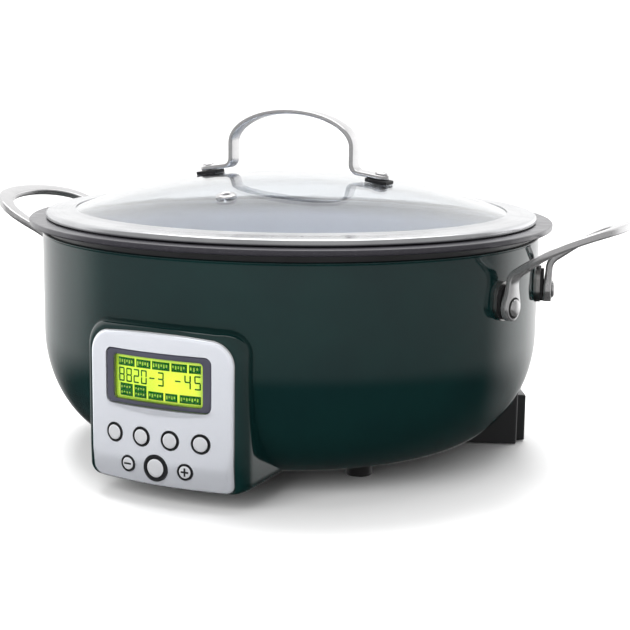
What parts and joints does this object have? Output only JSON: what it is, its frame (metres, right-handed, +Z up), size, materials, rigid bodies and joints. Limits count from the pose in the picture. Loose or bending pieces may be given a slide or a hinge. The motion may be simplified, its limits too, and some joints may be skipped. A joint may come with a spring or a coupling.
{
  "type": "slow cooker",
  "caption": "Round electric slow cooker: green bowl body, lift-out dark pot, domed glass lid with strip handle, upswept steel side handles and a front control housing with display and buttons.",
  "frame": {"origin": "on the axis of the round body, at table level, which is also the middle of the bounding box's underside", "axes": "+Z up along the body axis, -Y towards the control panel, +X towards the right-hand side handle seen from the front"},
  "size_m": [0.4462, 0.3419, 0.2209],
  "materials": {
    "green_enamel": "deep green gloss enamel",
    "black_plastic": "black satin",
    "black_rubber": "black matt",
    "brushed_steel": "satin sheet",
    "polished_steel": "polished",
    "element_steel": "dull heat-tinted tube",
    "aluminium": "machined",
    "pin_brass": "plated",
    "fuse_ceramic": "matt",
    "board_green": "solder mask",
    "parts_blue": "glossy sleeves",
    "lead_red": "silicone sleeve",
    "silver_plastic": "silver metallic",
    "frame_grey": "dark grey satin",
    "window_clear": "clear gloss",
    "lcd_lime": "yellow-green display",
    "dark_cast_pot": "dark satin non-stick coat",
    "lid_glass": "clear tempered"
  },
  "bodies": {
    "base": {"outer_shell": "green_enamel", "rim_ring": "black_plastic", "heat_liner": "brushed_steel", "bottom_cover": "black_plastic", "cover_screws": "brushed_steel", "front_feet": "black_rubber", "rear_stand": "black_plastic", "rear_pads": "black_rubber", "rear_band": "black_plastic", "power_inlet": "black_plastic", "inlet_pins": "pin_brass", "heating_plate": "aluminium", "heating_element": "element_steel", "heat_shield": "brushed_steel", "probe_bracket": "brushed_steel", "probe_spring": "brushed_steel", "thermal_fuse": "fuse_ceramic", "power_board": "board_green", "power_parts": "parts_blue", "wiring": "lead_red", "control_housing": "green_enamel", "fascia": "silver_plastic", "display_frame": "frame_grey", "display_window": "window_clear", "display_module": "lcd_lime", "control_board": "board_green", "switches": "black_plastic", "button_collars": "black_plastic", "side_handle_left": "polished_steel", "side_handle_right": "polished_steel", "handle_plates": "brushed_steel", "handle_gaskets": "black_rubber", "handle_rivets": "polished_steel", "handle_nuts": "brushed_steel"},
    "probe": {"probe": "aluminium"},
    "pot": {"pot": "dark_cast_pot"},
    "lid": {"lid_glass": "lid_glass", "lid_ring": "polished_steel", "vent_eyelet": "polished_steel", "lid_handle": "polished_steel", "lid_gaskets": "black_rubber", "lid_rivets": "polished_steel", "lid_washers": "brushed_steel"},
    "button_menu_1": {"button_menu_1": "silver_plastic"},
    "button_menu_2": {"button_menu_2": "silver_plastic"},
    "button_menu_3": {"button_menu_3": "silver_plastic"},
    "button_menu_4": {"button_menu_4": "silver_plastic"},
    "button_minus": {"button_minus": "silver_plastic"},
    "button_start": {"button_start": "silver_plastic"},
    "button_plus": {"button_plus": "silver_plastic"}
  },
  "joints": [
    {"name": "pot_lift", "type": "slide", "parent": "base", "child": "pot", "axis": [0, 0, 1], "range_m": [0, 0.12]},
    {"name": "lid_lift", "type": "slide", "parent": "pot", "child": "lid", "axis": [0, 0, 1], "range_m": [0, 0.1]},
    {"name": "probe_push", "type": "slide", "parent": "base", "child": "probe", "axis": [0, 0, 1], "range_m": [-0.002, 0], "stiffness_N_per_m": 800, "springref_m": 0.002, "deforming": ["probe_spring"]},
    {"name": "button_menu_1_press", "type": "slide", "parent": "base", "child": "button_menu_1", "axis": [0, 1, 0], "range_m": [0, 0.0015], "stiffness_N_per_m": 300, "springref_m": -0.001},
    {"name": "button_menu_2_press", "type": "slide", "parent": "base", "child": "button_menu_2", "axis": [0, 1, 0], "range_m": [0, 0.0015], "stiffness_N_per_m": 300, "springref_m": -0.001},
    {"name": "button_menu_3_press", "type": "slide", "parent": "base", "child": "button_menu_3", "axis": [0, 1, 0], "range_m": [0, 0.0015], "stiffness_N_per_m": 300, "springref_m": -0.001},
    {"name": "button_menu_4_press", "type": "slide", "parent": "base", "child": "button_menu_4", "axis": [0, 1, 0], "range_m": [0, 0.0015], "stiffness_N_per_m": 300, "springref_m": -0.001},
    {"name": "button_minus_press", "type": "slide", "parent": "base", "child": "button_minus", "axis": [0, 1, 0], "range_m": [0, 0.0015], "stiffness_N_per_m": 300, "springref_m": -0.001},
    {"name": "button_start_press", "type": "slide", "parent": "base", "child": "button_start", "axis": [0, 1, 0], "range_m": [0, 0.0015], "stiffness_N_per_m": 300, "springref_m": -0.001},
    {"name": "button_plus_press", "type": "slide", "parent": "base", "child": "button_plus", "axis": [0, 1, 0], "range_m": [0, 0.0015], "stiffness_N_per_m": 300, "springref_m": -0.001}
  ]
}
